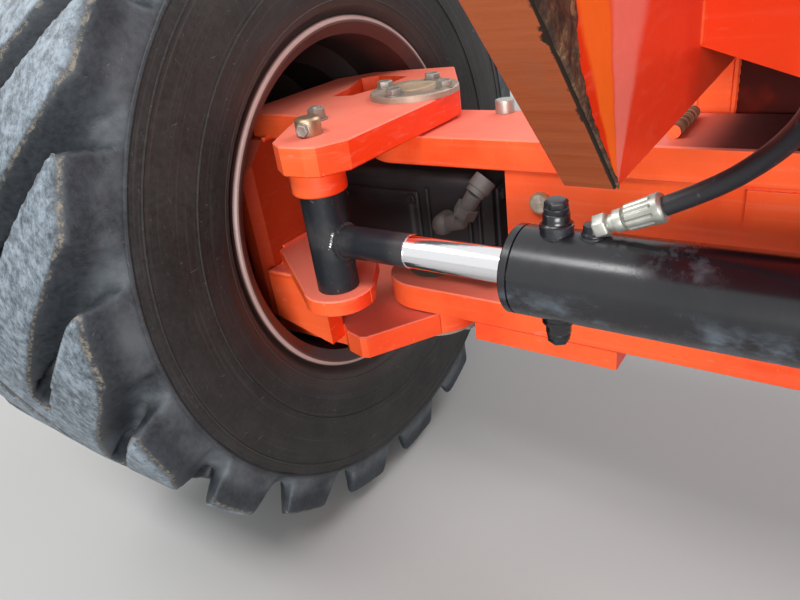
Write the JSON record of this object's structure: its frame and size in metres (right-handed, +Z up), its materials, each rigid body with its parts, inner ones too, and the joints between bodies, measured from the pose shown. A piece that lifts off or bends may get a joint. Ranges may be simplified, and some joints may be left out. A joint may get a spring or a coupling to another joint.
{
  "type": "steering axle of an articulating boom lift with the frame end that carries it",
  "caption": "Steering axle of a boom lift: box beam, knuckles with hub drives, lugged tyres and steering cylinders under a cut frame end.",
  "frame": {"origin": "middle of the flat upper face of the frame end, above the axle's pivot", "axes": "+X along the axle, the pictured wheel at -X; +Y away from the steering cylinders; +Z up"},
  "size_m": [2.312, 0.84, 0.8398],
  "materials": {
    "orange_paint": "gloss, dusty",
    "black_paint": "satin, scuffed",
    "rim_paint": "satin",
    "chrome_rod": "polished",
    "tyre": "scuffed rubber",
    "worn_steel": "dusty",
    "zinc": "zinc plate",
    "rubber_hose": "matt, dusty",
    "rusty_steel": "rusty"
  },
  "bodies": {
    "root": {"beam_top_flange": "orange_paint", "beam_low_flange": "orange_paint", "beam_webs": "orange_paint", "pivot_tube": "orange_paint", "beam_doublers": "orange_paint", "stop_bars": "rusty_steel", "frame_side_left": "orange_paint", "frame_side_right": "orange_paint", "pivot_plate_front": "orange_paint", "pivot_plate_rear": "orange_paint", "pivot_pin": "worn_steel", "frame_deck": "orange_paint", "base_bracket_left": "orange_paint", "base_bracket_right": "orange_paint", "base_pin_left": "zinc", "base_pin_right": "zinc", "beam_liners": "orange_paint", "web_plugs": "worn_steel", "hose_bulkhead_left": "zinc", "hose_left": "rubber_hose"},
    "knuckle_left": {"knuckle_arm_left": "orange_paint", "knuckle_back_left": "orange_paint", "knuckle_base_left": "orange_paint", "cylinder_lug_left": "orange_paint", "kingpins_left": "worn_steel", "rod_pin_head_left": "zinc", "hub_spindle_left": "orange_paint", "drive_motor_left": "black_paint", "motor_fitting_left": "zinc"},
    "wheel_left": {"tyre_left": "tyre", "rim_left": "rim_paint", "hub_left": "orange_paint"},
    "barrel_left": {"cylinder_barrel_left": "black_paint", "cylinder_gland_left": "black_paint", "port_plugs_left": "black_paint", "hose_elbow_left": "zinc"},
    "rod_left": {"cylinder_rod_left": "chrome_rod"},
    "knuckle_right": {"knuckle_arm_right": "orange_paint", "knuckle_back_right": "orange_paint", "knuckle_base_right": "orange_paint", "cylinder_lug_right": "orange_paint", "kingpins_right": "worn_steel", "rod_pin_head_right": "zinc", "hub_spindle_right": "orange_paint", "drive_motor_right": "black_paint", "motor_fitting_right": "zinc"},
    "wheel_right": {"tyre_right": "tyre", "rim_right": "rim_paint", "hub_right": "orange_paint"},
    "barrel_right": {"cylinder_barrel_right": "black_paint", "cylinder_gland_right": "black_paint", "port_plugs_right": "black_paint"},
    "rod_right": {"cylinder_rod_right": "chrome_rod"}
  },
  "joints": [
    {"name": "steer_left", "type": "hinge", "parent": "root", "child": "knuckle_left", "pos_m": [-0.707, 0, -0.3], "axis": [0, 0, 1], "range_deg": [-36, 26]},
    {"name": "roll_left", "type": "hinge", "parent": "knuckle_left", "child": "wheel_left", "pos_m": [-0.968, 0, -0.3], "axis": [1, 0, 0], "continuous": true},
    {"name": "cylinder_swing_left", "type": "hinge", "parent": "root", "child": "barrel_left", "pos_m": [-0.133, -0.1696, -0.2739], "axis": [0, 0, 1], "range_deg": [-3, 3]},
    {"name": "rod_slide_left", "type": "slide", "parent": "barrel_left", "child": "rod_left", "axis": [1, 0, 0], "range_m": [-0.12, 0.09]},
    {"name": "steer_right", "type": "hinge", "parent": "root", "child": "knuckle_right", "pos_m": [0.707, 0, -0.3], "axis": [0, 0, -1], "range_deg": [-36, 26]},
    {"name": "roll_right", "type": "hinge", "parent": "knuckle_right", "child": "wheel_right", "pos_m": [0.968, 0, -0.3], "axis": [1, 0, 0], "continuous": true},
    {"name": "cylinder_swing_right", "type": "hinge", "parent": "root", "child": "barrel_right", "pos_m": [0.133, -0.1696, -0.2739], "axis": [0, 0, -1], "range_deg": [-3, 3]},
    {"name": "rod_slide_right", "type": "slide", "parent": "barrel_right", "child": "rod_right", "axis": [-1, 0, 0], "range_m": [-0.12, 0.09]}
  ],
  "couplings": [
    {"joint": "cylinder_swing_left", "follows": "steer_left", "ratio": 0.044},
    {"joint": "rod_slide_left", "follows": "steer_left", "m_per_rad": 0.162},
    {"joint": "cylinder_swing_right", "follows": "steer_right", "ratio": 0.044},
    {"joint": "rod_slide_right", "follows": "steer_right", "m_per_rad": 0.162}
  ]
}
